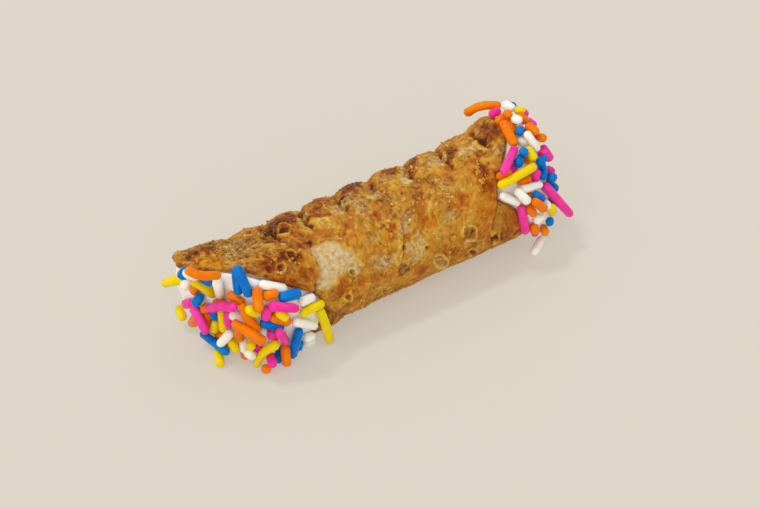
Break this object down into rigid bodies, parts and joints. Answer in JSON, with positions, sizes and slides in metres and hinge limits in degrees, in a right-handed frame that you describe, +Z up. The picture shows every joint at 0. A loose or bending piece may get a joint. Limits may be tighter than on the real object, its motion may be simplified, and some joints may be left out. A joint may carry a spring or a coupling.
{
  "type": "cannoli",
  "caption": "Mini cannoli: a blistered fried pastry tube with a lapped seam, filled with white cream that swells out of both mouths under a coat of coloured sprinkles.",
  "frame": {"origin": "middle of the underside, on the surface that the roll rests on", "axes": "+X along the roll towards the mouth that is cut back less, +Z up, so that the lapped seam lies at the front (-Y) near the bottom"},
  "size_m": [0.0858, 0.029, 0.0265],
  "materials": {
    "pastry": "fried wheat pastry, golden to dark brown, blistered, a little oily",
    "cream": "smooth whipped cream, soft sheen",
    "sprinkles": "sugar sprinkles in orange, yellow, pink, blue and white, satin glaze"
  },
  "bodies": {
    "root": {"pastry_shell": "pastry", "cream_filling": "cream", "sprinkles_left": "sprinkles", "sprinkles_right": "sprinkles"}
  },
  "joints": []
}
